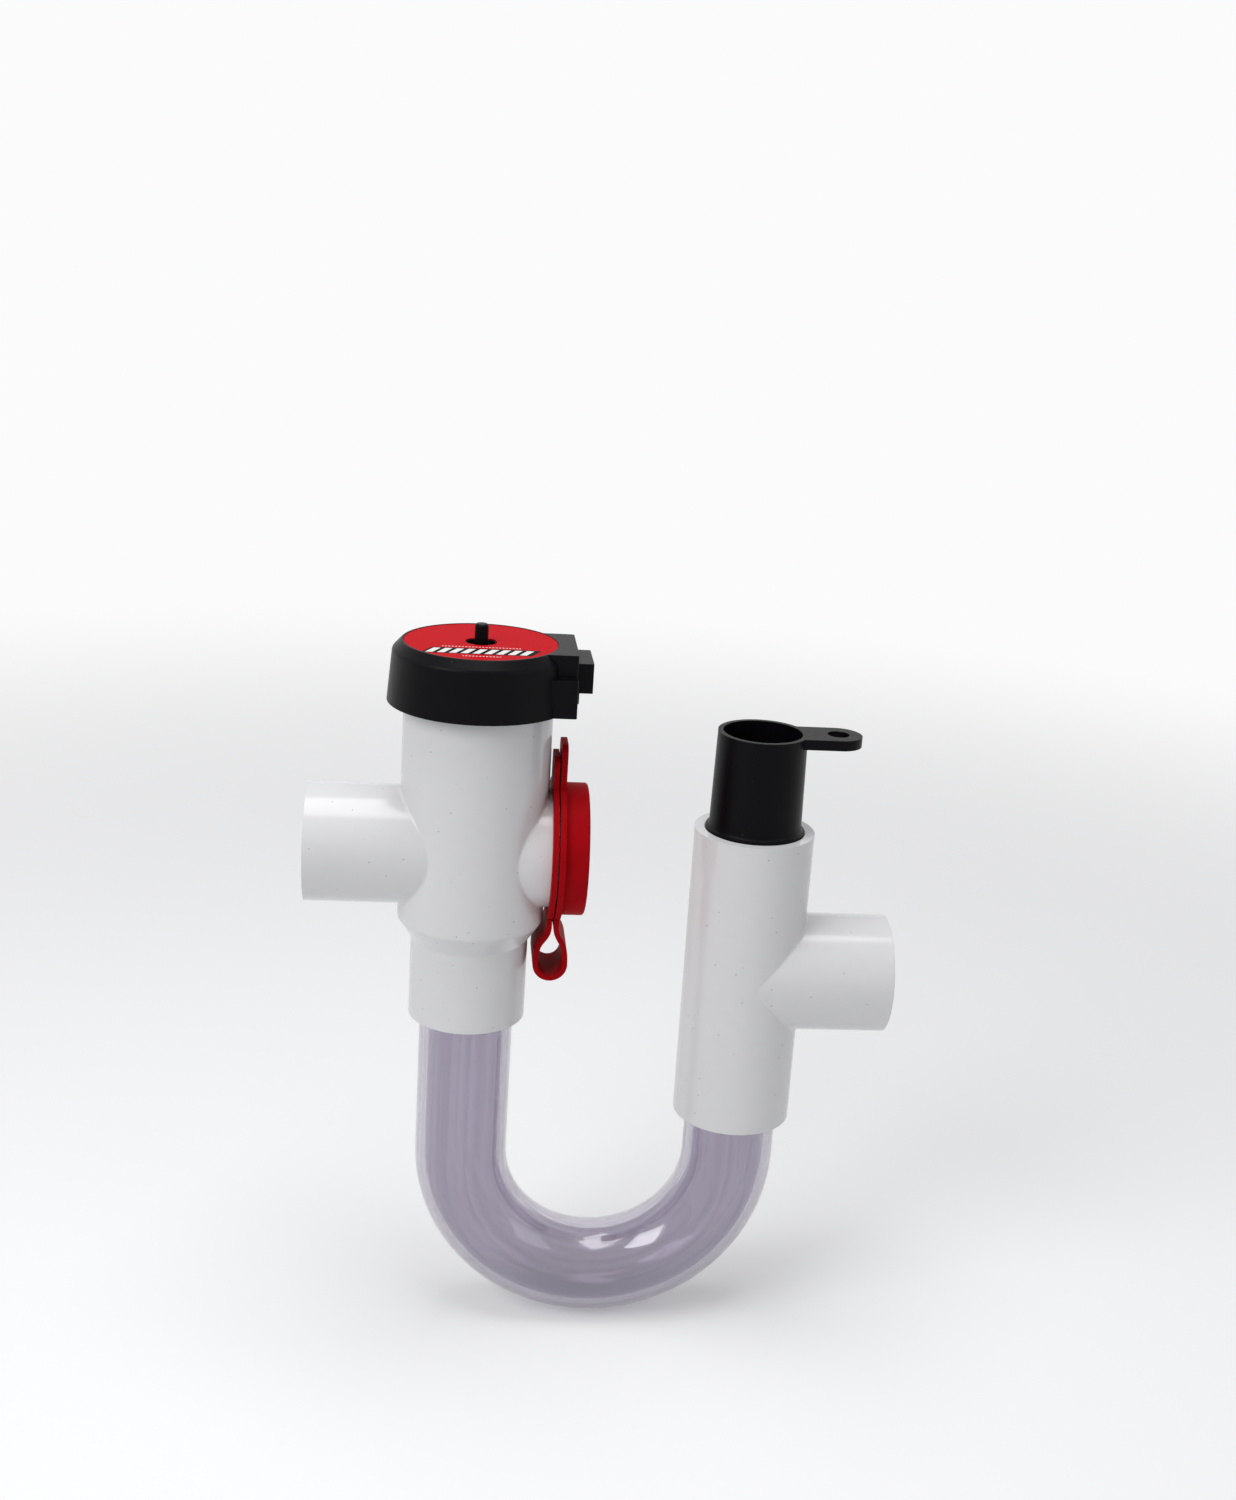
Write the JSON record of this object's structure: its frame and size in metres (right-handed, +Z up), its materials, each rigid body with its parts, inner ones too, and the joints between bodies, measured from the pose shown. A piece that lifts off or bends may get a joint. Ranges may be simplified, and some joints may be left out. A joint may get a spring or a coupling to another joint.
{
  "type": "condensate trap",
  "caption": "Drain trap for condensate: an inlet cross with a float chamber and lift-off switch cap, a clear U-bend, an outlet tee with a push-in vent tube, and a tethered cleanout cap.",
  "frame": {"origin": "on the inlet socket's axis where its bore begins, just inside the lead-in chamfer", "axes": "+X from the inlet socket towards the outlet socket, along the inlet socket's axis; +Z up, along the float chamber and both legs; the trap lies in the XZ plane"},
  "size_m": [0.1658, 0.05, 0.2096],
  "materials": {
    "white_pvc": "moulded, soft gloss",
    "clear_pvc": "clear, faint violet tint",
    "black_abs": "moulded, satin",
    "red_polyethylene": "moulded, satin, flexible",
    "label_print": "printed film",
    "nitrile_rubber": "smooth",
    "steel": "plain",
    "board_laminate": "smooth",
    "reed_glass": "clear",
    "pin_brass": "bright",
    "float_foam": "closed-cell foam",
    "magnet_ferrite": "sintered"
  },
  "bodies": {
    "root": {"inlet_cross": "white_pvc", "u_bend": "clear_pvc", "outlet_tee": "white_pvc"},
    "cap": {"switch_cap": "black_abs", "cap_label": "label_print", "cap_seal": "nitrile_rubber", "switch_cover": "black_abs", "cover_screw_1": "steel", "cover_screw_2": "steel", "cover_screw_3": "steel", "switch_board": "board_laminate", "reed_switch": "reed_glass", "contact_pin_1": "pin_brass", "contact_pin_2": "pin_brass"},
    "float": {"float_body": "float_foam", "magnet_ring": "magnet_ferrite", "float_rod": "black_abs", "rod_clip": "steel"},
    "vent": {"vent_tube": "black_abs"},
    "cleanout": {"cleanout_cap": "red_polyethylene"}
  },
  "joints": [
    {"name": "cap_lift", "type": "slide", "parent": "root", "child": "cap", "axis": [0, 0, 1], "range_m": [0, 0.042]},
    {"name": "float_rise", "type": "slide", "parent": "cap", "child": "float", "axis": [0, 0, 1], "range_m": [0, 0.011]},
    {"name": "vent_pull", "type": "slide", "parent": "root", "child": "vent", "axis": [0, 0, 1], "range_m": [0, 0.024]},
    {"name": "cleanout_pull", "type": "slide", "parent": "root", "child": "cleanout", "axis": [1, 0, 0], "range_m": [0, 0.014]}
  ]
}
